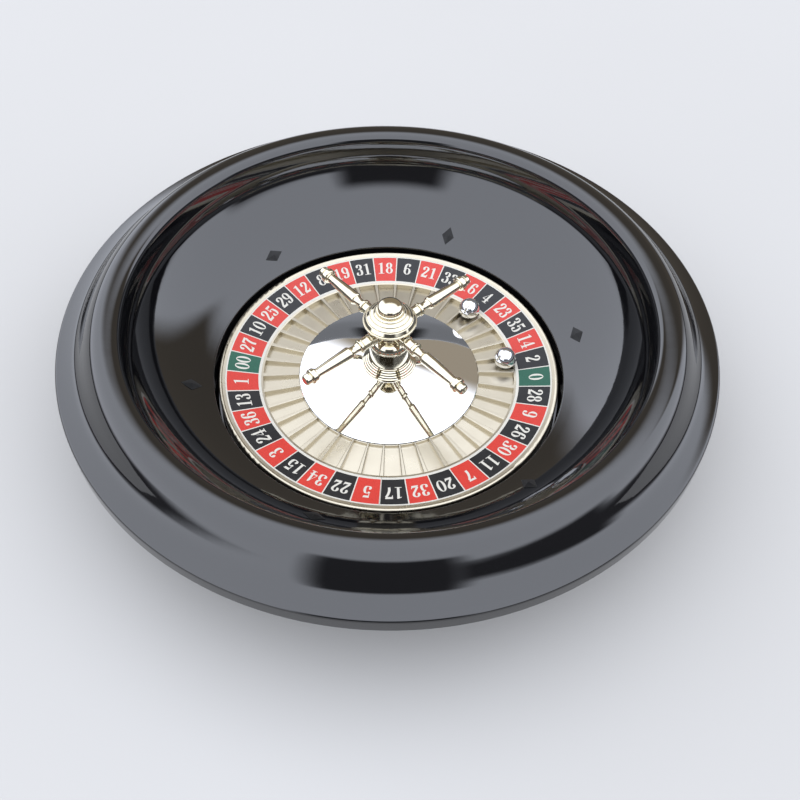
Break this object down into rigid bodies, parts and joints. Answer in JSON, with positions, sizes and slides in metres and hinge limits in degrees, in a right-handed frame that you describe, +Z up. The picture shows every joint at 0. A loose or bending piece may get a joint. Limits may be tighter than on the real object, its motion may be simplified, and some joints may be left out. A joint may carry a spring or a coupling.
{
  "type": "roulette wheel",
  "caption": "Drop-in roulette wheel: glossy ogee-rimmed bowl with a turning plated pocket rotor, mirror cone, turned turret with cross handles, and steel balls.",
  "frame": {"origin": "on the wheel's axis, in the plane of the foot pads' undersides", "axes": "+Z up along the rotor's axis; -Y towards the player at the front; +X to the right"},
  "size_m": [0.3048, 0.3048, 0.0697],
  "materials": {
    "bowl": "high gloss black moulded plastic",
    "diamond": "matt black, stepped relief",
    "cover": "fine matt black",
    "pad": "matt",
    "steel": "zinc plated",
    "bearing": "ground and polished",
    "cage": "pressed",
    "hub": "turned",
    "plated": "pale champagne gold plating, polished",
    "mirror": "mirror polished",
    "paper": "printed, satin varnish",
    "turret": "pale champagne gold plating, mirror polished",
    "ball": "polished steel"
  },
  "bodies": {
    "bowl": {"bowl_shell": "bowl", "diamond_inlays": "diamond", "base_cover": "cover", "base_cover_screws": "steel", "foot_pads": "pad", "spindle": "steel", "spindle_washer": "steel", "spindle_nut": "steel", "spindle_clip": "steel", "bearing_inner_race": "bearing"},
    "bearing_cage": {"bearing_cage": "cage", "bearing_balls": "bearing"},
    "rotor": {"bearing_outer_race": "bearing", "rotor_hub": "hub", "hub_snap_ring": "steel", "hub_screws": "steel", "rotor_pan": "plated", "mirror_cone": "mirror", "number_strip_right": "paper", "number_strip_left": "paper", "turret_bell": "turret", "turret_crown": "turret", "turret_stud": "steel", "finial_knob": "turret", "handle_back_right": "turret", "handle_back_left": "turret", "handle_front_left": "turret", "handle_front_right": "turret"},
    "ball_right": {"ball_right": "ball"},
    "ball_back": {"ball_back": "ball"}
  },
  "joints": [
    {"name": "rotor_spin", "type": "hinge", "parent": "bowl", "child": "rotor", "pos_m": [0, 0, 0.0192], "axis": [0, 0, 1], "continuous": true},
    {"name": "bearing_cage_spin", "type": "hinge", "parent": "bowl", "child": "bearing_cage", "pos_m": [0, 0, 0.0192], "axis": [0, 0, 1], "continuous": true},
    {"name": "ball_right_lift", "type": "slide", "parent": "rotor", "child": "ball_right", "axis": [0, 0, 1], "range_m": [0, 0.1]},
    {"name": "ball_back_lift", "type": "slide", "parent": "rotor", "child": "ball_back", "axis": [0, 0, 1], "range_m": [0, 0.1]}
  ],
  "couplings": [
    {"joint": "bearing_cage_spin", "follows": "rotor_spin", "ratio": 0.6323}
  ]
}
